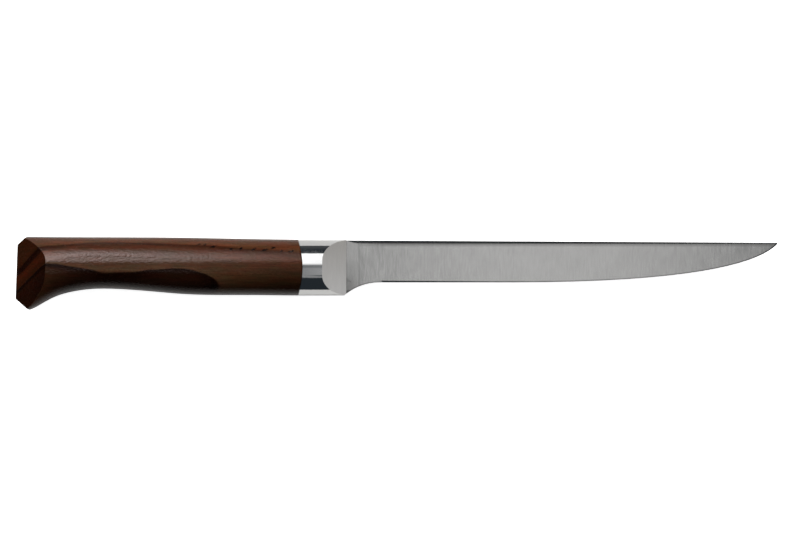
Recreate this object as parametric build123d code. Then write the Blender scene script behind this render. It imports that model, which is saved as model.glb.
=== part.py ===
from build123d import *
import math
import os

# A fillet knife that lies on its side: tip towards +X, spine towards +Y, one flank up.
# While it is built, X is 0 where the blade leaves the bolster, Y is 0 on the knife's axis,
# and Z is 0 in the plane that halves it. At the end it is stood on Z = 0. Millimetres.

# Blade
blade_length = 180.0
spine_height = 11.4  # axis to spine, at the bolster
spine_drop = 0.95  # how much nearer the axis the spine is at the tip
tip_drop = 0.4  # point of the tip below the spine's line
belly_depth = 6.1  # axis to the straight stretch of the edge
straight_edge_end = 70.0  # from the bolster to where the edge starts to rise
belly_sweep = 84.0  # pull of the straight stretch on the rising curve
tip_sweep = 8.0  # pull of the tip on the rising curve
tip_angle = 48.0  # steepness of the edge at the tip
heel_radius = 23.0  # hollow between the bolster's corner and the edge
heel_length = 14.0  # from the bolster to the end of that hollow
heel_rim_half = 0.6  # half thickness left at the hollow's bevelled rim
heel_rim_angle = 40.0  # slope of that rim's two bevels

# Blade's cross-section
stock_half = 1.3  # half the blank, as it leaves the bolster
spine_half = 1.12  # half thickness of the ground blade at the spine, by the bolster
distal_taper = 0.54  # half thickness lost along the blade
height_taper = 0.75  # half thickness lost down the blade
plunge_length = 5.0  # hollow run-out of the flank grind in front of the bolster
tip_thinning = 0.2  # half thickness that the tip loses as well
tip_thinning_length = 40.0
crown_land_half = 0.18  # flat left on top of the bevelled spine
crown_angle = 35.0  # slope of the spine's two bevels
crown_length = 6.0  # from the bolster to where those bevels have their full width
edge_land_half = 0.03
edge_angle = 25.0  # slope of each sharpened bevel
edge_rear_gap = 0.8  # the sharpened bevel starts this far in front of the heel's hollow

# Tang
tang_half = 1.0
tang_root_half = 0.35  # at its root, a short way into the blade
tang_root_length = 3.0
tang_neck_length = 4.0  # behind the blade, where the tang has its full thickness
tang_half_height = 6.0  # in the bolster
tang_end_half_height = 3.6
tang_length = 92.0  # inside the wood
tang_corner_radius = 2.0

# Sides of bolster and wood, parallel as on a handle cut from a board
side_half = 8.6
side_flat_half = 3.0  # half the narrow flat along the middle of each side

# Bolster
bolster_length = 17.9
bolster_half_height = 11.6
bolster_front_half = 1.55  # left at the front, a small step proud of the blade
bolster_flat_length = 9.8  # ground flat, from the front back along the middle
bolster_fullness_share = 0.59  # pull of each quarter's ends: 0.55 is an ellipse, 1 a box
bolster_edge_radius = 0.18

# Joint between wood and bolster, a shallow cylinder across the knife
joint_radius = 33.0
wood_edge_radius = 0.6

# Wood
wood_length = 120.4
wood_top = 12.9  # axis to the top line
beak_depth = 17.6  # axis to the lowest point, the beak of the butt
butt_edge_radius = 0.25

# Stations along the wood, from the joint back, chosen by hand:
# place / wood_length, top / wood_top, underside / beak_depth, and the fullness of the upper
# and the lower quarter.
station_shares = [
    (-0.045, 0.905, 0.660, 0.592, 0.592),
    (0.020, 0.912, 0.660, 0.585, 0.592),
    (0.085, 0.920, 0.656, 0.564, 0.588),
    (0.166, 0.931, 0.650, 0.543, 0.583),
    (0.253, 0.947, 0.650, 0.523, 0.572),
    (0.340, 0.962, 0.645, 0.510, 0.560),
    (0.427, 0.977, 0.620, 0.499, 0.549),
    (0.514, 0.984, 0.570, 0.485, 0.534),
    (0.600, 0.988, 0.523, 0.471, 0.529),
    (0.670, 0.990, 0.499, 0.461, 0.528),
    (0.739, 0.991, 0.508, 0.459, 0.540),
    (0.805, 0.993, 0.574, 0.458, 0.557),
    (0.861, 0.996, 0.688, 0.462, 0.582),
    (0.906, 0.999, 0.848, 0.470, 0.612),
    (0.948, 1.000, 1.000, 0.476, 0.631),
    (1.012, 1.000, 1.215, 0.480, 0.634),
]

# Butt: four flat cuts. Each is placed by how far it reaches from the rear end or the outline.
butt_slope = 0.8  # the rear ridge's lower end lies this much further back
butt_bevel_angle = 32.5  # each side bevel to the halving plane
top_cut_length = 4.2
top_cut_height = 3.5
beak_cut_length = 6.2
beak_cut_height = 4.75

# Fits
slot_clearance = 0.45  # glue gap round the tang in the wood
slot_end_clearance = 2.0

# The joint's cylinder reaches bolster_length behind the blade, so its middle lies behind that.
joint_x = -bolster_length
joint_middle_x = joint_x - joint_radius
rear_x = joint_x - wood_length
overrun = blade_length  # every cutter runs past what it cuts by this


def prism(outline, half_height):
    """A closed outline in the halving plane, thickened to both sides."""
    return extrude(make_face(outline), amount=half_height, both=True)


def rounded_section(x, top, bottom, upper_share, lower_share):
    """An oval across the knife at x: four Bezier quarters, with a narrow flat on each side."""
    middle = (top + bottom) / 2
    lines = []
    for side, end, share in (
        (1, top, upper_share),
        (-1, top, upper_share),
        (-1, bottom, lower_share),
        (1, bottom, lower_share),
    ):
        flank = side * side_half
        upwards = 1 if end > middle else -1
        start = middle + upwards * side_flat_half
        points = [
            (x, start, flank),
            (x, start + share * (end - start), flank),
            (x, end, share * flank),
            (x, end, 0),
        ]
        lines.append(Bezier(*(points if side * upwards > 0 else points[::-1])))
        if side * upwards < 0:
            lines.append(Line((x, start, flank), (x, middle - upwards * side_flat_half, flank)))
    return Wire(lines)


def cut_off(solid, point, normal):
    """Keeps what lies behind the plane through point, which faces along normal."""
    return split(solid, bisect_by=Plane(origin=point, z_dir=normal), keep=Keep.BOTTOM)


def joint_cylinder():
    return Pos(joint_middle_x, 0, 0) * Cylinder(joint_radius, 2 * overrun)


def heel_cylinder():
    middle_y = -belly_depth - heel_radius
    return Pos(heel_length, middle_y, 0) * Cylinder(heel_radius, 2 * overrun)


def tang_space(gap=0.0, end_gap=0.0):
    """The tang, or with gaps the room that it takes in the wood."""
    end_x = joint_x - tang_length - end_gap
    front = tang_half_height + gap
    end = tang_end_half_height + gap
    plan = prism(
        Polyline(
            (tang_root_length, -front), (joint_x, -front), (end_x, -end),
            (end_x, end), (joint_x, front), (tang_root_length, front), close=True,
        ),
        tang_half + gap,
    )
    plan = fillet(plan.edges().filter_by(Axis.Z).group_by(Axis.X)[0], tang_corner_radius + gap)
    root = tang_root_half + gap
    thickness = tang_half + gap
    side = Plane.XZ * make_face(
        Polyline(
            (tang_root_length, -root), (-tang_neck_length, -thickness), (-overrun, -thickness),
            (-overrun, thickness), (-tang_neck_length, thickness), (tang_root_length, root),
            close=True,
        )
    )
    return plan & extrude(side, amount=overrun, both=True)


def blade_profile():
    """The blade's outline: spine, tip, rising edge, straight edge, hollow of the heel."""
    tip_y = spine_height - spine_drop - tip_drop
    heel_start_y = -belly_depth - heel_radius + math.sqrt(heel_radius**2 - heel_length**2)
    tip = Vector(blade_length, tip_y)
    spine_end = Vector(blade_length - tip_drop, tip_y + tip_drop)
    straight_end = Vector(straight_edge_end, -belly_depth)
    heel_end = Vector(heel_length, -belly_depth)
    steep = math.radians(tip_angle)
    rising = Bezier(
        straight_end,
        straight_end + Vector(belly_sweep, 0),
        tip - tip_sweep * Vector(math.cos(steep), math.sin(steep)),
        tip,
    )
    straight = Line(heel_end, straight_end)
    hollow = RadiusArc((0, heel_start_y), heel_end, heel_radius)
    back = Polyline(tip, spine_end, (0, spine_height), (0, heel_start_y))
    return [hollow, straight, rising, back], [straight, rising]


def flank_plane():
    """The upper flank, thinner towards the tip and towards the edge."""
    along = distal_taper / blade_length
    down = height_taper / (spine_height + belly_depth)
    return Plane(
        origin=(0, spine_height, spine_half),
        x_dir=(1, 0, -along),
        z_dir=(along, -down, 1),
    )


def arc_radius(run, fall):
    """Radius of an arc that starts level and falls by fall over run."""
    return (run**2 + fall**2) / (2 * fall)


def arc_fall(radius, run):
    return radius - math.sqrt(radius**2 - run**2)


def run_out(length, depth):
    """Arc of a cut that is depth above its own level at 0 and reaches it smoothly at length."""
    radius = arc_radius(length, depth)
    start = (-length, arc_fall(radius, 2 * length))
    return start, RadiusArc(start, (length, 0), -radius)


def flank_grind():
    """What the wheel takes off the upper side: run-out, flat flank, thinner tip."""
    start, run_out_arc = run_out(plunge_length, stock_half - spine_half)
    thinning_radius = arc_radius(tip_thinning_length, tip_thinning)
    thinning_start = (blade_length - tip_thinning_length, 0)
    thinning_end = (
        blade_length + tip_thinning_length,
        -arc_fall(thinning_radius, 2 * tip_thinning_length),
    )
    flank = flank_plane()
    across = Plane(origin=flank.origin, x_dir=flank.x_dir, z_dir=-flank.y_dir)
    outline = [
        run_out_arc,
        Line(run_out_arc @ 1, thinning_start),
        RadiusArc(thinning_start, thinning_end, thinning_radius),
        Polyline(thinning_end, (thinning_end[0], overrun), (start[0], overrun), start),
    ]
    return extrude(across * make_face(outline), amount=overrun, both=True)


def edge_grind(edge_line):
    """What sharpening takes off the upper side, swept along the edge from in front of the heel."""
    reach = stock_half * 2
    rise = reach * math.tan(math.radians(edge_angle))
    start = Vector(heel_length + edge_rear_gap, -belly_depth)
    straight, rising = edge_line
    past_tip = Line(rising @ 1, rising @ 1 + reach * (rising % 1))
    path = Wire([Line(start, straight @ 1), rising, past_tip])
    section = Plane(origin=start, x_dir=(0, 1, 0), z_dir=(1, 0, 0)) * make_face(
        Polyline(
            (0, edge_land_half), (reach, edge_land_half + rise), (reach, reach + rise),
            (-reach, reach + rise), (-reach, edge_land_half), close=True,
        )
    )
    return sweep(section, path=path)


def crown_grind():
    """What bevelling takes off the upper side of the spine, easing in from the bolster."""
    slope = math.radians(crown_angle)
    along = Vector(blade_length - tip_drop, -spine_drop, 0).normalized()
    outwards = Vector(-along.Y, along.X, 0)
    upwards = outwards * math.sin(slope) + Vector(0, 0, 1) * math.cos(slope)
    bevel = Plane(
        origin=(0, spine_height, crown_land_half), x_dir=along, z_dir=along.cross(upwards)
    )
    start, run_out_arc = run_out(crown_length, (stock_half - crown_land_half) * math.cos(slope))
    end_x = blade_length + crown_length
    outline = [
        run_out_arc,
        Polyline(run_out_arc @ 1, (end_x, 0), (end_x, overrun), (start[0], overrun), start),
    ]
    return extrude(bevel * make_face(outline), amount=overrun, both=True)


def heel_grind():
    """What bevelling takes off the upper side round the heel's hollow: a cone."""
    height = 2 * stock_half
    spread = height / math.tan(math.radians(heel_rim_angle))
    place = Pos(heel_length, -belly_depth - heel_radius, heel_rim_half + height / 2)
    return place * Cone(heel_radius, heel_radius + spread, height)


def make_blade():
    profile, edge_line = blade_profile()
    blade = prism(profile, stock_half)
    for cutter in (flank_grind(), crown_grind(), heel_grind(), edge_grind(edge_line)):
        blade -= cutter
        blade -= mirror(cutter, Plane.XY)
    return blade + tang_space()


def mirrored(direction):
    return Vector(direction.X, direction.Y, -direction.Z)


def make_bolster():
    reach = bolster_length + side_half
    section = rounded_section(
        -reach, bolster_half_height, -bolster_half_height,
        bolster_fullness_share, bolster_fullness_share,
    )
    bolster = extrude(Face(section), amount=reach, dir=(1, 0, 0))
    fall = side_half - bolster_front_half
    flat_normal = Vector(fall, 0, bolster_flat_length)
    bolster = cut_off(bolster, (0, 0, bolster_front_half), flat_normal)
    bolster = cut_off(bolster, (0, 0, -bolster_front_half), mirrored(flat_normal))
    bolster -= joint_cylinder()
    bolster -= heel_cylinder()
    front_edges = bolster.faces().sort_by(Axis.X)[-1].edges().filter_by(Axis.Y)
    bolster = fillet(front_edges, bolster_edge_radius)
    return bolster - tang_space()


def make_handle():
    sections = []
    for place, top, bottom, upper, lower in station_shares:
        section = rounded_section(
            joint_x - place * wood_length, top * wood_top, -bottom * beak_depth, upper, lower
        )
        sections.append(Face(section))
    handle = trim_to_joint(loft(sections))
    front = handle.faces().filter_by(GeomType.CYLINDER)[0]
    handle = fillet(front.outer_wire().edges(), wood_edge_radius)
    ridge_top = Vector(rear_x + butt_slope, wood_top - top_cut_height, 0)
    ridge_bottom = Vector(rear_x, -beak_depth + beak_cut_height, 0)
    ridge_direction = (ridge_top - ridge_bottom).normalized()
    backwards = Vector(-ridge_direction.Y, ridge_direction.X, 0)
    bevel = math.radians(butt_bevel_angle)
    bevel_normal = backwards * math.sin(bevel) + Vector(0, 0, 1) * math.cos(bevel)
    handle = cut_off(handle, ridge_top, bevel_normal)
    handle = cut_off(handle, ridge_top, mirrored(bevel_normal))
    handle = cut_off(handle, ridge_top, Vector(-top_cut_height, top_cut_length, 0))
    handle = cut_off(handle, ridge_bottom, Vector(-beak_cut_height, -beak_cut_length, 0))
    handle = fillet(handle.faces().filter_by(GeomType.PLANE).edges(), butt_edge_radius)
    return handle - tang_space(slot_clearance, slot_end_clearance)


def trim_to_joint(solid):
    """Gives a solid the rounded front end that the wood has against the bolster."""
    front = Pos(joint_middle_x, 0, 0) * Box(
        overrun, overrun, overrun, align=(Align.MIN, Align.CENTER, Align.CENTER)
    )
    return solid - (front - joint_cylinder())


def make_tang_adhesive():
    return trim_to_joint(tang_space(slot_clearance, slot_end_clearance) - tang_space())


nodes = {
    "blade": make_blade(),
    "bolster": make_bolster(),
    "handle": make_handle(),
    "tang_adhesive": make_tang_adhesive(),
}

# Stands the knife on Z = 0, with the origin under the middle of its box.
box = Compound([solid for node in nodes.values() for solid in node.solids()]).bounding_box()
seat = Pos(-box.center().X, -box.center().Y, -box.min.Z)

os.makedirs("parts", exist_ok=True)
for name, node in nodes.items():
    placed = seat * node
    placed.label = name
    export_step(placed, f"parts/{name}.step")
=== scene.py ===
import math

import bpy
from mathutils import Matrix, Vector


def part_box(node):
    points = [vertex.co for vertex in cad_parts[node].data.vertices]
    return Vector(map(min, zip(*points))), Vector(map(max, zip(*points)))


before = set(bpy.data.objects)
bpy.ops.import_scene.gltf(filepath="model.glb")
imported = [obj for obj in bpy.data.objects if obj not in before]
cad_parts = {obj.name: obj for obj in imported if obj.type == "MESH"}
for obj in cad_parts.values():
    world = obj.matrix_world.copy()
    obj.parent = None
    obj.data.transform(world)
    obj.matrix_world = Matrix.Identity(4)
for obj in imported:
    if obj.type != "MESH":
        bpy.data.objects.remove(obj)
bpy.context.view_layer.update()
mm = 0.001
white = (1, 1, 1, 1)

# Where the knife lies: the blade leaves the bolster at front, and its axis and halving plane
# run through the bolster's middle. The wood is as thick as the bolster.
bolsterLow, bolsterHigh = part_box("bolster")
front = bolsterHigh.x
axisY = (bolsterLow.y + bolsterHigh.y) / 2
middleZ = (bolsterLow.z + bolsterHigh.z) / 2
halfThickness = (bolsterHigh.z - bolsterLow.z) / 2


# sRGB hex to the linear colour that Blender's sockets take
def linear(hexColour):
    channels = [int(hexColour[i : i + 2], 16) / 255 for i in (1, 3, 5)]
    return [c / 12.92 if c <= 0.04045 else ((c + 0.055) / 1.055) ** 2.4 for c in channels] + [1]


# Adds one node. Its inputs, by name or number, take a value, a socket, or a node's first output.
# A Mix of colours takes its share at 0 and the colours at 6 and 7, and its result is output 2.
def addNode(tree, kind, inputs=None, **settings):
    made = tree.nodes.new(kind)
    for name, value in settings.items():
        setattr(made, name, value)
    for name, value in (inputs or {}).items():
        if isinstance(value, bpy.types.Node):
            value = value.outputs[0]
        if isinstance(value, bpy.types.NodeSocket):
            tree.links.new(value, made.inputs[name])
        else:
            made.inputs[name].default_value = value
    return made


# Fills a colour ramp from (position, colour) pairs
def fillRamp(ramp, stops):
    elements = ramp.color_ramp.elements
    while len(elements) < len(stops):
        elements.new(0.5)
    for element, (position, colour) in zip(elements, stops):
        element.position = position
        element.color = colour


def newMaterial(name):
    material = bpy.data.materials.new(name)
    material.use_nodes = True
    material.node_tree.nodes.clear()
    return material, material.node_tree


photoView = {
    "lens": 100,
    "sensor": 36,
    "height": 927.5 * mm,  # above the halving plane
    "aheadOfBolster": 22.37 * mm,
    "aboveAxis": 0.51 * mm,
}


def makeCamera():
    data = bpy.data.cameras.new("photoCamera")
    data.lens = photoView["lens"]
    data.sensor_width = photoView["sensor"]
    camera = bpy.data.objects.new("photoCamera", data)
    camera.location = (
        front + photoView["aheadOfBolster"],
        axisY + photoView["aboveAxis"],
        middleZ + photoView["height"],
    )
    bpy.context.scene.collection.objects.link(camera)
    bpy.context.scene.camera = camera
    bpy.context.scene.view_settings.view_transform = "Standard"


makeCamera()
print("camera: done")


# The studio, a dark room with lamps. A lamp's shape goes by angles from straight up, in degrees:
# across the knife, towards the spine, and along it, towards the tip. Beside each angle stands
# the share of the lamp's level that is left there.
studio = {
    "room": (0.024, 0.031, 0.038, 1),  # its walls' own faint light
    "lamps": [
        {  # long softbox on the spine's side, strongest behind the handle
            "level": 8.8,
            "across": [(6.4, 0), (7.8, 1), (36, 1), (41, 0)],
            "along": [
                (-50, 0), (-36, 0.7), (-12, 1.0), (-7, 0.95), (-5, 0.55), (-3.4, 0.2),
                (-1.6, 0.19), (0, 0.07), (12, 0.045), (40, 0.26), (55, 0),
            ],
        },
        {  # its far side, behind the handle alone
            "level": 4.0,
            "across": [(36, 0), (42, 1), (50, 0.8), (60, 0)],
            "along": [(-50, 0), (-36, 0.7), (-12, 1), (-6, 0.9), (-4.5, 0.7), (-3.7, 0)],
        },
        {  # white card over the blade
            "level": 1.34,
            "across": [
                (-21, 0), (-17, 0.84), (-9.5, 0.96), (-7.2, 1), (-5.3, 0.945), (-3.5, 0.965),
                (-1.5, 0.94), (0, 0.68), (2, 0.58), (5.6, 0.56), (7.4, 0),
            ],
            "along": [
                (-3.3, 0), (-2.6, 0.27), (-1.5, 0.32), (0, 0.6), (2, 0.95), (5.5, 1), (8, 0.57),
                (11, 0.2), (15, 0),
            ],
        },
        {  # dim wall on the spine's side
            "level": 0.06,
            "across": [(56, 0), (80, 1), (90, 1), (91, 0)],
            "along": [(-58, 0), (-46, 1), (90, 1)],
        },
        {  # pale wall beyond the tip
            "level": 0.74,
            "across": [(-180, 1), (180, 1)],
            "along": [(46, 0), (60, 1), (90, 1)],
        },
    ],
    "floorColour": "#ecebe9",
    "floorGlow": 0.93,
    "floorReach": 4.0,  # metres each way
    "floorDrop": 0.02 * mm,  # clear of the knife, which lies at 0
}


def makeStudio():
    world = bpy.data.worlds.new("studio")
    world.use_nodes = True
    tree = world.node_tree
    tree.nodes.clear()
    direction = addNode(tree, "ShaderNodeTexCoord").outputs["Generated"]
    parts = addNode(tree, "ShaderNodeSeparateXYZ", {0: direction})
    across = addNode(
        tree, "ShaderNodeMath", {0: parts.outputs["Y"], 1: parts.outputs["Z"]}, operation="ARCTAN2"
    )
    along = addNode(tree, "ShaderNodeMath", {0: parts.outputs["X"]}, operation="ARCSINE")
    # the two angles, and how far each can go either way, in degrees
    angles = (("across", across, 180), ("along", along, 90))
    level = 0.0
    for lamp in studio["lamps"]:
        light = lamp["level"]
        for name, angle, reach in angles:
            share = addNode(
                tree, "ShaderNodeMapRange",
                {"Value": angle, "From Min": -math.radians(reach), "From Max": math.radians(reach)},
            )
            shape = addNode(tree, "ShaderNodeValToRGB", {0: share})
            fillRamp(
                shape, [((at + reach) / (2 * reach), [left] * 3 + [1]) for at, left in lamp[name]]
            )
            light = addNode(tree, "ShaderNodeMath", {0: light, 1: shape}, operation="MULTIPLY")
        level = addNode(tree, "ShaderNodeMath", {0: level, 1: light}, operation="ADD")
    lamps = addNode(tree, "ShaderNodeBackground", {"Color": white, "Strength": level})
    room = addNode(tree, "ShaderNodeBackground", {"Color": studio["room"], "Strength": 1.0})
    lit = addNode(tree, "ShaderNodeAddShader", {0: room, 1: lamps})
    backdrop = addNode(tree, "ShaderNodeBackground", {"Color": white, "Strength": 1.0})
    seen = addNode(tree, "ShaderNodeLightPath").outputs["Is Camera Ray"]
    mixed = addNode(tree, "ShaderNodeMixShader", {0: seen, 1: lit, 2: backdrop})
    addNode(tree, "ShaderNodeOutputWorld", {"Surface": mixed})
    bpy.context.scene.world = world


# Matt white card: even and pale, it keeps a faint shadow. To the camera it is lifted to white.
def makeFloor():
    reach = studio["floorReach"]
    corners = [(-reach, -reach), (reach, -reach), (reach, reach), (-reach, reach)]
    mesh = bpy.data.meshes.new("floor")
    mesh.from_pydata([(x, y, -studio["floorDrop"]) for x, y in corners], [], [(0, 1, 2, 3)])
    floor = bpy.data.objects.new("floor", mesh)
    bpy.context.scene.collection.objects.link(floor)
    material, tree = newMaterial("matt white card")
    card = addNode(tree, "ShaderNodeBsdfDiffuse", {"Color": linear(studio["floorColour"])})
    seen = addNode(tree, "ShaderNodeLightPath").outputs["Is Camera Ray"]
    lift = addNode(
        tree, "ShaderNodeMath", {0: seen, 1: studio["floorGlow"]}, operation="MULTIPLY"
    )
    glow = addNode(tree, "ShaderNodeEmission", {"Color": white, "Strength": lift})
    both = addNode(tree, "ShaderNodeAddShader", {0: card, 1: glow})
    addNode(tree, "ShaderNodeOutputMaterial", {"Surface": both})
    mesh.materials.append(material)


makeStudio()
makeFloor()
print("studio: done")


# Places in millimetres, from where the blade leaves the bolster, on the axis
def addKnifeSpace(tree):
    place = addNode(tree, "ShaderNodeTexCoord").outputs["Object"]
    return addNode(
        tree, "ShaderNodeMapping",
        {
            0: place, "Location": (-front / mm, -axisY / mm, -middleZ / mm),
            "Scale": (1 / mm, 1 / mm, 1 / mm),
        },
    )


# A pattern is given by its detail and the size of its features, along the knife and across it.
def addPattern(tree, kind, place, pattern):
    across = 1 / pattern["across"]
    squeezed = addNode(
        tree, "ShaderNodeMapping", {0: place, "Scale": (1 / pattern["along"], across, across)}
    )
    return addNode(tree, kind, {"Vector": squeezed, "Scale": 1.0, "Detail": pattern["detail"]})


# nearly all values of a noise lie between these
noiseSpread = {"From Min": 0.3, "From Max": 0.7}


# The height of a curved line at a share of the way along it, from (share, height) points. The
# float curve holds the heights drawn in to 0..1.
def addLine(tree, share, points, low, high):
    curve = addNode(tree, "ShaderNodeFloatCurve", {"Value": share})
    held = curve.mapping.curves[0].points
    while len(held) < len(points):
        held.new(0.5, 0.5)
    for point, (at, height) in zip(held, points):
        point.location = (at, (height - low) / (high - low))
    curve.mapping.update()
    return addNode(tree, "ShaderNodeMapRange", {"Value": curve, "To Min": low, "To Max": high})


# Buffing rounds the narrow flats of the sides: height = depth / (1 + ((y - middle) / width)^2)
def addCrown(tree, crown, y, strength, normal=None):
    offMiddle = addNode(tree, "ShaderNodeMath", {0: y, 1: crown["middle"]}, operation="SUBTRACT")
    widths = addNode(tree, "ShaderNodeMath", {0: offMiddle, 1: crown["width"]}, operation="DIVIDE")
    fall = addNode(
        tree, "ShaderNodeMath", {0: widths, 1: widths, 2: 1.0}, operation="MULTIPLY_ADD"
    )
    height = addNode(tree, "ShaderNodeMath", {0: crown["depth"] * mm, 1: fall}, operation="DIVIDE")
    inputs = {"Height": height, "Distance": 1.0, "Strength": strength}
    if normal:
        inputs["Normal"] = normal
    return addNode(tree, "ShaderNodeBump", inputs)


# In the finishes below, sizes and places are in millimetres of the knife's space, and tones and
# tints are what a colour is multiplied by.
bladeFinish = {
    "patches": {"along": 9, "across": 9, "detail": 2},
    "patchColours": [(0.35, "#b8b7b5"), (0.65, "#bcbbb9")],  # by the noise's value
    # real grit lines are nearer 0.05 mm wide, drawn coarser so that they show
    "lines": {"along": 0.7, "across": 5, "detail": 2},
    "lineTone": (0.88, 1.13),
    "lineDepth": 0.002,
    "roughness": (0.19, 0.25),
    "anisotropy": 0.3,
    # painted shade: darker in the corner under the spine's bevel and at the heel, and painted
    # dark reflection along the edge, by the height above it. Start and end lie along the blade,
    # low and high up it.
    "paintedSpineShade": {"start": 2, "end": 16, "low": 8.6, "high": 9.9, "tone": 0.55},
    "paintedHeelShade": {"start": 2, "end": 8, "low": -8, "high": 4, "lowTone": 0.5, "highTone": 0.82},
    "paintedEdgeShade": {"low": 0.28, "high": 0.55, "tone": 0.5},
    # The mesh's points on the lower outline lie below the spine and this near to the halving
    # plane. The heel's bevelled rim has its points on both sides of it, and the edge on it.
    "spineFrom": 9.9,
    "heelLength": 14.5,
    "heelOffPlane": 0.34,
    "edgeOffPlane": 0.005,
}


# The blade's lower outline from its own mesh: (place along the blade, height)
def findEdge(mesh):
    finish = bladeFinish
    points = set()
    for vertex in mesh.vertices:
        x = (vertex.co.x - front) / mm
        y = (vertex.co.y - axisY) / mm
        offPlane = abs(vertex.co.z - middleZ) / mm
        furthest = finish["heelOffPlane"] if x < finish["heelLength"] else finish["edgeOffPlane"]
        if x > 0 and offPlane < furthest and y < finish["spineFrom"]:
            points.add((round(x, 2), round(y, 2)))
    return sorted(points)


# How far a place lies above the edge
def addHeightOverEdge(tree, parts):
    edge = findEdge(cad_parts["blade"].data)
    (first, low), (last, high) = edge[0], edge[-1]
    share = addNode(
        tree, "ShaderNodeMapRange",
        {"Value": parts.outputs["X"], "From Min": first, "From Max": last},
    )
    points = [((x - first) / (last - first), y) for x, y in edge]
    height = addLine(tree, share, points, low, high)
    return addNode(
        tree, "ShaderNodeMath", {0: parts.outputs["Y"], 1: height}, operation="SUBTRACT"
    )


# The tones of the blade's three stretches of painted shade and painted dark reflection
def addPaintedBladeShades(tree, parts):
    spine = bladeFinish["paintedSpineShade"]
    deepestPaintedShade = addNode(
        tree, "ShaderNodeMapRange",
        {
            "Value": parts.outputs["X"], "From Min": spine["start"], "From Max": spine["end"],
            "To Min": 1.0, "To Max": spine["tone"],
        },
    )
    paintedSpineTone = addNode(
        tree, "ShaderNodeMapRange",
        {
            "Value": parts.outputs["Y"], "From Min": spine["low"], "From Max": spine["high"],
            "To Min": 1.0, "To Max": deepestPaintedShade,
        },
    )
    heel = bladeFinish["paintedHeelShade"]
    paintedShadeAtBolster = addNode(
        tree, "ShaderNodeMapRange",
        {
            "Value": parts.outputs["Y"], "From Min": heel["low"], "From Max": heel["high"],
            "To Min": heel["lowTone"], "To Max": heel["highTone"],
        },
    )
    paintedHeelTone = addNode(
        tree, "ShaderNodeMapRange",
        {
            "Value": parts.outputs["X"], "From Min": heel["start"], "From Max": heel["end"],
            "To Min": paintedShadeAtBolster, "To Max": 1.0,
        },
    )
    edge = bladeFinish["paintedEdgeShade"]
    paintedEdgeTone = addNode(
        tree, "ShaderNodeMapRange",
        {
            "Value": addHeightOverEdge(tree, parts), "From Min": edge["low"],
            "From Max": edge["high"], "To Min": edge["tone"], "To Max": 1.0,
        },
    )
    return paintedSpineTone, paintedHeelTone, paintedEdgeTone


# Stainless steel, ground across the blade: satin, with short fine lines from spine to edge.
def makeBladeSteel():
    finish = bladeFinish
    material, tree = newMaterial("stainless steel ground crosswise")
    place = addKnifeSpace(tree)
    parts = addNode(tree, "ShaderNodeSeparateXYZ", {0: place})
    patches = addPattern(tree, "ShaderNodeTexNoise", place, finish["patches"])
    colour = addNode(tree, "ShaderNodeValToRGB", {0: patches})
    fillRamp(colour, [(at, linear(steel)) for at, steel in finish["patchColours"]])
    lines = addPattern(tree, "ShaderNodeTexNoise", place, finish["lines"])
    low, high = finish["lineTone"]
    lineTone = addNode(
        tree, "ShaderNodeMapRange", {"Value": lines, **noiseSpread, "To Min": low, "To Max": high}
    )
    # painted shade under the spine's bevel and at the heel, and a painted dark edge reflection, go
    # into the colour
    for tone in (*addPaintedBladeShades(tree, parts), lineTone):
        colour = addNode(
            tree, "ShaderNodeMix", {0: 1.0, 6: colour, 7: tone}, data_type="RGBA",
            blend_type="MULTIPLY",
        ).outputs[2]
    low, high = finish["roughness"]
    roughness = addNode(
        tree, "ShaderNodeMapRange", {"Value": lines, **noiseSpread, "To Min": low, "To Max": high}
    )
    scratches = addNode(
        tree, "ShaderNodeBump",
        {"Height": lines, "Distance": finish["lineDepth"] * mm, "Strength": 1.0},
    )
    surface = addNode(
        tree, "ShaderNodeBsdfPrincipled",
        {
            "Base Color": colour, "Metallic": 1.0, "Roughness": roughness,
            "Anisotropic": finish["anisotropy"], "Normal": scratches,
            "Tangent": addNode(tree, "ShaderNodeCombineXYZ", {"X": 1.0, "Y": 0.0, "Z": 0.0}),
        },
    )
    addNode(tree, "ShaderNodeOutputMaterial", {"Surface": surface})
    return material


bolsterFinish = {
    "polished": "#d0d0cf",
    "polishRoughness": (0.06, 0.08),  # clean and smudged
    "smudges": {"along": 5, "across": 5, "detail": 3},
    "smudgeSpread": (0.4, 0.7),
    # The flats' normals lean towards the tip by more than this. Ground, not buffed, the flats
    # are warmer and duller, and a little paler below.
    "flatLean": (0.3, 0.35),
    "flatColours": ("#c3c1bf", "#aeaba7"),  # low and high
    "flatReach": 9,
    "flatRoughness": 0.3,
    # drawn coarser than real grit lines, so that they show
    "lines": {"along": 0.6, "across": 6, "detail": 2},
    "lineTone": (0.97, 1.03),
    "crown": {"middle": 0.0, "width": 4.0, "depth": 0.444},
}


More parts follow.
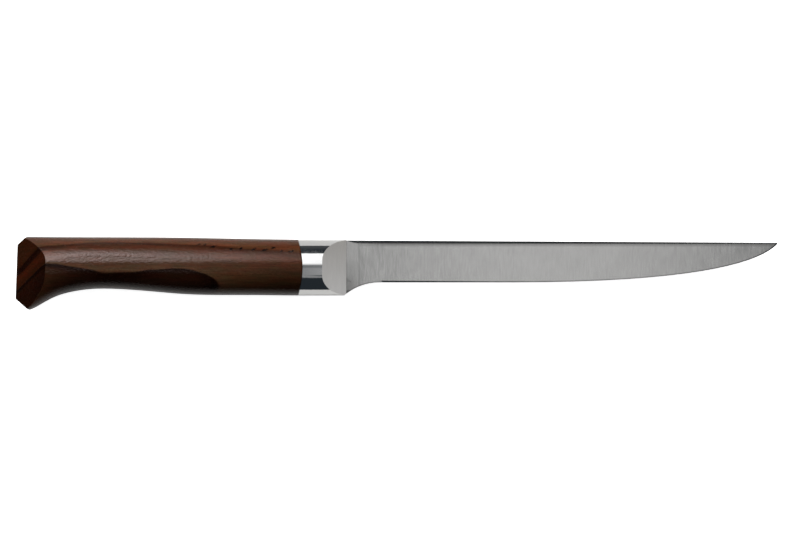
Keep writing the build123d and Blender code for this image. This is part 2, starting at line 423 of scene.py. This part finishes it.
# Stainless steel bolster: buffed to a mirror round its sides, with a fine-ground flat on each.
def makeBolsterSteel():
    finish = bolsterFinish
    material, tree = newMaterial("stainless steel buffed")
    place = addKnifeSpace(tree)
    parts = addNode(tree, "ShaderNodeSeparateXYZ", {0: place})
    normal = addNode(tree, "ShaderNodeTexCoord").outputs["Normal"]
    facing = addNode(tree, "ShaderNodeSeparateXYZ", {0: normal})
    start, full = finish["flatLean"]
    polish = addNode(
        tree, "ShaderNodeMapRange",
        {
            "Value": facing.outputs["X"], "From Min": start, "From Max": full,
            "To Min": 1.0, "To Max": 0.0,
        },
    )
    height = addNode(
        tree, "ShaderNodeMapRange",
        {
            "Value": parts.outputs["Y"], "From Min": -finish["flatReach"],
            "From Max": finish["flatReach"],
        },
    )
    low, high = finish["flatColours"]
    ground = addNode(
        tree, "ShaderNodeMix", {0: height, 6: linear(low), 7: linear(high)}, data_type="RGBA"
    )
    lines = addPattern(tree, "ShaderNodeTexNoise", place, finish["lines"])
    low, high = finish["lineTone"]
    lineTone = addNode(
        tree, "ShaderNodeMapRange", {"Value": lines, **noiseSpread, "To Min": low, "To Max": high}
    )
    lined = addNode(
        tree, "ShaderNodeMix", {0: 1.0, 6: ground.outputs[2], 7: lineTone}, data_type="RGBA",
        blend_type="MULTIPLY",
    )
    colour = addNode(
        tree, "ShaderNodeMix", {0: polish, 6: lined.outputs[2], 7: linear(finish["polished"])},
        data_type="RGBA",
    )
    smudges = addPattern(tree, "ShaderNodeTexNoise", place, finish["smudges"])
    low, high = finish["smudgeSpread"]
    clean, smudged = finish["polishRoughness"]
    mirror = addNode(
        tree, "ShaderNodeMapRange",
        {
            "Value": smudges, "From Min": low, "From Max": high,
            "To Min": clean, "To Max": smudged,
        },
    )
    roughness = addNode(
        tree, "ShaderNodeMapRange",
        {"Value": polish, "To Min": finish["flatRoughness"], "To Max": mirror},
    )
    surface = addNode(
        tree, "ShaderNodeBsdfPrincipled",
        {
            "Base Color": colour.outputs[2], "Metallic": 1.0, "Roughness": roughness,
            "Normal": addCrown(tree, finish["crown"], parts.outputs["Y"], polish),
        },
    )
    addNode(tree, "ShaderNodeOutputMaterial", {"Surface": surface})
    return material


# Shares run along the wood, from the butt to the bolster.
wood = {
    "joint": -17.9,
    "length": 120.4,
    "crown": {"middle": 2.2, "width": 2.3, "depth": 0.36},
    # how fast a ring climbs towards the spine, through the thickness
    "ringLean": 1.4,
    "waves": {"along": 14, "across": 6, "detail": 3},
    "waviness": 1.0,
    # two dark late-wood lines where they cross the halving plane, as (share, height)
    "topLine": [
        (0, -1.9), (0.16, 0.1), (0.25, 1.6), (0.38, 2.1), (0.64, 0), (0.8, -2.6), (1, -5.6),
    ],
    "lowLine": [
        (0, -10.1), (0.12, -10.2), (0.24, -12.2), (0.33, -13.9), (0.39, -13.9), (0.52, -12.2),
        (0.6, -12.7), (0.67, -15.3), (0.72, -18.1), (0.8, -21.1), (1, -22.1),
    ],
    "lineRange": (-23, 3),
    # stained colour by place between the lines, -1 the lower and 0 the upper: in the front and,
    # paler below the lower line, at the butt
    "ringRange": (-3, 2),
    "rings": [
        (-3, "#1a0b06"), (-1.6, "#24120a"), (-1.35, "#24120a"), (-1.2, "#1f0d06"),
        (-1.06, "#120502"), (-1.01, "#0e0301"), (-0.98, "#4a3222"), (-0.8, "#432b1b"),
        (-0.5, "#3f2718"), (-0.3, "#4a2a1b"), (-0.16, "#44261a"), (-0.08, "#3a1f12"),
        (0, "#341a0e"), (0.04, "#452413"), (0.12, "#573320"), (0.6, "#4f2c19"), (2, "#402410"),
    ],
    "ringsAtButt": [
        (-3, "#2e1b0e"), (-1.5, "#331c10"), (-1.22, "#382012"), (-1.13, "#24120b"),
        (-1.01, "#1e0d08"), (-0.98, "#4a3020"), (-0.85, "#4c2c1d"), (-0.55, "#603424"),
        (-0.36, "#5a3020"), (-0.26, "#2f1810"), (0, "#26110a"), (0.05, "#46301f"),
        (0.2, "#503426"), (2, "#4a3020"),
    ],
    "buttEnds": (0.06, 0.2),
    # painted shade: darker on the underside in front of the butt, and towards the bolster
    "paintedUnderShade": {"low": -8, "high": 0, "tone": 0.25},
    "paintedJointShade": {
        "start": 0.76, "end": 0.95, "low": -2, "high": 3, "lowTone": 0.6, "highTone": 0.9,
    },
    "streaks": {"along": 9, "across": 0.5, "detail": 4},
    "streakTone": (0.75, 1.28),
    "patches": {"along": 7, "across": 2, "detail": 3},
    "patchTints": [(0.38, (1.1, 0.93, 0.88, 1)), (0.62, (0.9, 1.06, 0.98, 1))],
    "pores": {"along": 2.2, "across": 0.4, "detail": 0},
    "poreReach": (0.1, 0.3),  # parts of its cell: a pore starts to fade there, and ends
    "poreStrength": 0.7,
    "poreColour": "#24120b",
    # dark pits along the upper line, leaning ovals with ragged rims: along, up, half length
    "pits": [
        (-61.2, 9.6, 1.6), (-58.6, 9.5, 1.1), (-54.9, 8.8, 1.9), (-47.6, 7.8, 0.8),
        (-43.5, 7.9, 0.9), (-38.2, 7.6, 1.2), (-33.6, 7.3, 1.9), (-30.3, 8.2, 1.3),
        (-26.6, 6.9, 0.8), (-22.6, 6.8, 1.3),
    ],
    "pitHalfHeight": 0.46,
    "pitHalfDepth": 4,
    "pitLean": 17,  # degrees
    "pitReach": (0.6, 1.1),  # parts of its oval: it starts to fade there, and ends
    "pitRaggedness": 1.3,
    "pitTeethPerMm": 1.2,
    "pitColour": "#0a0302",
    # the butt's normals lean back by more than this, and its end grain soaks up more stain
    "endGrainLean": (-0.3, -0.45),
    "endGrainTint": (0.29, 0.18, 0.1, 1),
    "speckle": {"along": 1.0, "across": 0.7, "detail": 3},
    "speckleDepth": 0.1,
    "roughness": (0.16, 0.28),
    "ior": 1.42,
    # The varnish shines less on end grain; its gloss is also dimmed as painted shade on the
    # reflection: towards the bolster, and more so along the top, by the normal, and in the lower
    # half, by the height.
    "varnishShine": (0.92, 0.76, 0.75, 1),
    "glossShadeFrom": 0.5,
    "frontGlossShade": (0.48, 0.35, 0.3, 1),
    "glossShadeAbove": (0.5, 0.85),
    "glossShadeBelow": (1.0, -3.0),
    "topAndLowGlossShade": (0.14, 0.08, 0.05, 1),
    "endGrainShine": (0.3, 0.12, 0.08, 1),
}


# Ring colour: how far a place lies between the two dark lines, which run on through the board
def addRings(tree, place, alongWood, pastButt):
    parts = addNode(tree, "ShaderNodeSeparateXYZ", {0: place})
    waves = addPattern(tree, "ShaderNodeTexNoise", place, wood["waves"])
    offset = addNode(
        tree, "ShaderNodeMapRange",
        {"Value": waves, "To Min": -wood["waviness"], "To Max": wood["waviness"]},
    )
    wavy = addNode(tree, "ShaderNodeMath", {0: parts.outputs["Y"], 1: offset}, operation="ADD")
    depth = addNode(
        tree, "ShaderNodeMath", {0: parts.outputs["Z"], 1: -wood["ringLean"], 2: wavy},
        operation="MULTIPLY_ADD",
    )
    low, high = wood["lineRange"]
    top = addLine(tree, alongWood, wood["topLine"], low, high)
    bottom = addLine(tree, alongWood, wood["lowLine"], low, high)
    ring = addNode(
        tree, "ShaderNodeMapRange",
        {"Value": depth, "From Min": bottom, "From Max": top, "To Min": -1.0, "To Max": 0.0},
        clamp=False,
    )
    first, last = wood["ringRange"]
    share = addNode(
        tree, "ShaderNodeMapRange", {"Value": ring, "From Min": first, "From Max": last}
    )
    ramps = []
    for rings in (wood["ringsAtButt"], wood["rings"]):
        ramp = addNode(tree, "ShaderNodeValToRGB", {0: share})
        fillRamp(ramp, [((at - first) / (last - first), linear(stain)) for at, stain in rings])
        ramps.append(ramp)
    return addNode(
        tree, "ShaderNodeMix", {0: pastButt, 6: ramps[0], 7: ramps[1]}, data_type="RGBA"
    ).outputs[2]


# The tones of the painted shade on the underside and on the wood near the bolster
def addPaintedWoodShades(tree, height, alongWood, pastButt):
    under = wood["paintedUnderShade"]
    deepestPaintedShade = addNode(
        tree, "ShaderNodeMapRange", {"Value": pastButt, "To Min": 1.0, "To Max": under["tone"]}
    )
    paintedUnderTone = addNode(
        tree, "ShaderNodeMapRange",
        {
            "Value": height, "From Min": under["low"], "From Max": under["high"],
            "To Min": deepestPaintedShade, "To Max": 1.0,
        },
    )
    joint = wood["paintedJointShade"]
    paintedShadeAtBolster = addNode(
        tree, "ShaderNodeMapRange",
        {
            "Value": height, "From Min": joint["low"], "From Max": joint["high"],
            "To Min": joint["lowTone"], "To Max": joint["highTone"],
        },
    )
    paintedJointTone = addNode(
        tree, "ShaderNodeMapRange",
        {
            "Value": alongWood, "From Min": joint["start"], "From Max": joint["end"],
            "To Min": 1.0, "To Max": paintedShadeAtBolster,
        },
    )
    return addNode(tree, "ShaderNodeMath", {0: paintedUnderTone, 1: paintedJointTone}, operation="MULTIPLY")


# Fine streaks along the grain, as a tone, and redder and greyer patches, as a tint
def addGrain(tree, place):
    streaks = addPattern(tree, "ShaderNodeTexNoise", place, wood["streaks"])
    low, high = wood["streakTone"]
    tone = addNode(
        tree, "ShaderNodeMapRange",
        {"Value": streaks, **noiseSpread, "To Min": low, "To Max": high},
    )
    patches = addPattern(tree, "ShaderNodeTexNoise", place, wood["patches"])
    tint = addNode(tree, "ShaderNodeValToRGB", {0: patches})
    fillRamp(tint, wood["patchTints"])
    return tone, tint


# How much of a pore, a short dark dash along the grain, shows at a place
def addPores(tree, place):
    cells = addPattern(tree, "ShaderNodeTexVoronoi", place, wood["pores"])
    full, end = wood["poreReach"]
    return addNode(
        tree, "ShaderNodeMapRange",
        {
            "Value": cells.outputs["Distance"], "From Min": full, "From Max": end,
            "To Min": wood["poreStrength"], "To Max": 0.0,
        },
    )


# How deep in a pit a place is, 0 to 1
def addPits(tree, place):
    raggedness = wood["pitRaggedness"]
    teeth = addNode(
        tree, "ShaderNodeTexNoise",
        {"Vector": place, "Scale": wood["pitTeethPerMm"], "Detail": 2.0},
    )
    offset = addNode(
        tree, "ShaderNodeVectorMath",
        {0: teeth.outputs["Color"], 1: [raggedness] * 3, 2: [-raggedness / 2] * 3},
        operation="MULTIPLY_ADD",
    )
    ragged = addNode(tree, "ShaderNodeVectorMath", {0: place, 1: offset}, operation="ADD")
    full, end = wood["pitReach"]
    deepest = 0.0
    for along, up, halfLength in wood["pits"]:
        inPit = addNode(
            tree, "ShaderNodeMapping",
            {
                0: ragged, "Location": (along, up, halfThickness / mm),
                "Rotation": (0, 0, math.radians(wood["pitLean"])),
                "Scale": (halfLength, wood["pitHalfHeight"], wood["pitHalfDepth"]),
            },
            vector_type="TEXTURE",
        )
        away = addNode(tree, "ShaderNodeVectorMath", {0: inPit}, operation="LENGTH")
        depth = addNode(
            tree, "ShaderNodeMapRange",
            {
                "Value": away.outputs["Value"], "From Min": full, "From Max": end,
                "To Min": 1.0, "To Max": 0.0,
            },
        )
        deepest = addNode(tree, "ShaderNodeMath", {0: depth, 1: deepest}, operation="MAXIMUM")
    return deepest


# What the varnish's gloss is multiplied by, with painted shade dimming its reflection
def addShine(tree, height, facing, alongWood, endGrain):
    paintedFrontShade = addNode(
        tree, "ShaderNodeMapRange", {"Value": alongWood, "From Min": wood["glossShadeFrom"]}
    )
    start, full = wood["glossShadeAbove"]
    above = addNode(
        tree, "ShaderNodeMapRange",
        {"Value": facing.outputs["Y"], "From Min": start, "From Max": full},
    )
    start, full = wood["glossShadeBelow"]
    below = addNode(
        tree, "ShaderNodeMapRange", {"Value": height, "From Min": start, "From Max": full}
    )
    paintedTopLowShade = addNode(tree, "ShaderNodeMath", {0: above, 1: below}, operation="MAXIMUM")
    shine = wood["varnishShine"]
    # painted shade dims the gloss towards the bolster, along the top and in the lower half
    for share, name in ((paintedFrontShade, "frontGlossShade"), (paintedTopLowShade, "topAndLowGlossShade"), (endGrain, "endGrainShine")):
        shine = addNode(
            tree, "ShaderNodeMix", {0: share, 6: shine, 7: wood[name]}, data_type="RGBA"
        ).outputs[2]
    return shine


# Beech, stained dark and varnished satin: brown rings, fine streaks along the grain, small
# pores, a few dark pits, and a soft sheen that fine relief breaks into specks.
def makeStainedBeech():
    material, tree = newMaterial("stained beech with satin varnish")
    place = addKnifeSpace(tree)
    parts = addNode(tree, "ShaderNodeSeparateXYZ", {0: place})
    height = parts.outputs["Y"]
    normal = addNode(tree, "ShaderNodeTexCoord").outputs["Normal"]
    facing = addNode(tree, "ShaderNodeSeparateXYZ", {0: normal})
    alongWood = addNode(
        tree, "ShaderNodeMapRange",
        {
            "Value": parts.outputs["X"], "From Min": wood["joint"] - wood["length"],
            "From Max": wood["joint"],
        },
    )
    start, end = wood["buttEnds"]
    pastButt = addNode(
        tree, "ShaderNodeMapRange", {"Value": alongWood, "From Min": start, "From Max": end}
    )
    start, full = wood["endGrainLean"]
    endGrain = addNode(
        tree, "ShaderNodeMapRange",
        {"Value": facing.outputs["X"], "From Min": start, "From Max": full},
    )
    colour = addRings(tree, place, alongWood, pastButt)
    # painted shade: the underside and the wood by the bolster are darkened in the colour
    paintedShade = addPaintedWoodShades(tree, height, alongWood, pastButt)
    for tone in (paintedShade, *addGrain(tree, place)):
        colour = addNode(
            tree, "ShaderNodeMix", {0: 1.0, 6: colour, 7: tone}, data_type="RGBA",
            blend_type="MULTIPLY",
        ).outputs[2]
    pores = addPores(tree, place)
    pits = addPits(tree, place)
    for share, name in ((pores, "poreColour"), (pits, "pitColour")):
        colour = addNode(
            tree, "ShaderNodeMix", {0: share, 6: colour, 7: linear(wood[name])}, data_type="RGBA"
        ).outputs[2]
    soaked = addNode(
        tree, "ShaderNodeMix", {0: endGrain, 6: colour, 7: wood["endGrainTint"]},
        data_type="RGBA", blend_type="MULTIPLY",
    )
    speckle = addPattern(tree, "ShaderNodeTexNoise", place, wood["speckle"])
    low, high = wood["roughness"]
    roughness = addNode(
        tree, "ShaderNodeMapRange",
        {"Value": speckle, **noiseSpread, "To Min": low, "To Max": high},
    )
    relief = addNode(
        tree, "ShaderNodeBump",
        {"Height": speckle, "Distance": wood["speckleDepth"] * mm, "Strength": 1.0},
    )
    surface = addNode(
        tree, "ShaderNodeBsdfPrincipled",
        {
            "Base Color": soaked.outputs[2], "Roughness": roughness, "IOR": wood["ior"],
            "Normal": addCrown(tree, wood["crown"], height, 1.0, relief),
            "Specular Tint": addShine(tree, height, facing, alongWood, endGrain),
        },
    )
    addNode(tree, "ShaderNodeOutputMaterial", {"Surface": surface})
    return material


epoxyFinish = {
    "clouds": {"along": 4 * mm, "across": 4 * mm, "detail": 2},  # in metres, as Object gives
    "cloudColours": [(0.3, "#b8a67c"), (0.7, "#cbbd98")],
    "roughness": 0.4,
    "ior": 1.55,
}


# Cured epoxy: cloudy amber, hidden between tang and wood.
def makeEpoxy():
    finish = epoxyFinish
    material, tree = newMaterial("cured epoxy")
    place = addNode(tree, "ShaderNodeTexCoord").outputs["Object"]
    clouds = addPattern(tree, "ShaderNodeTexNoise", place, finish["clouds"])
    colour = addNode(tree, "ShaderNodeValToRGB", {0: clouds})
    fillRamp(colour, [(at, linear(amber)) for at, amber in finish["cloudColours"]])
    surface = addNode(
        tree, "ShaderNodeBsdfPrincipled",
        {"Base Color": colour, "Roughness": finish["roughness"], "IOR": finish["ior"]},
    )
    addNode(tree, "ShaderNodeOutputMaterial", {"Surface": surface})
    return material


for node, material in (
    ("blade", makeBladeSteel()),
    ("bolster", makeBolsterSteel()),
    ("handle", makeStainedBeech()),
    ("tang_adhesive", makeEpoxy()),
):
    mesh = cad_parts[node].data
    mesh.materials.clear()
    mesh.materials.append(material)
    print(node + ": " + material.name)
print("materials: done")
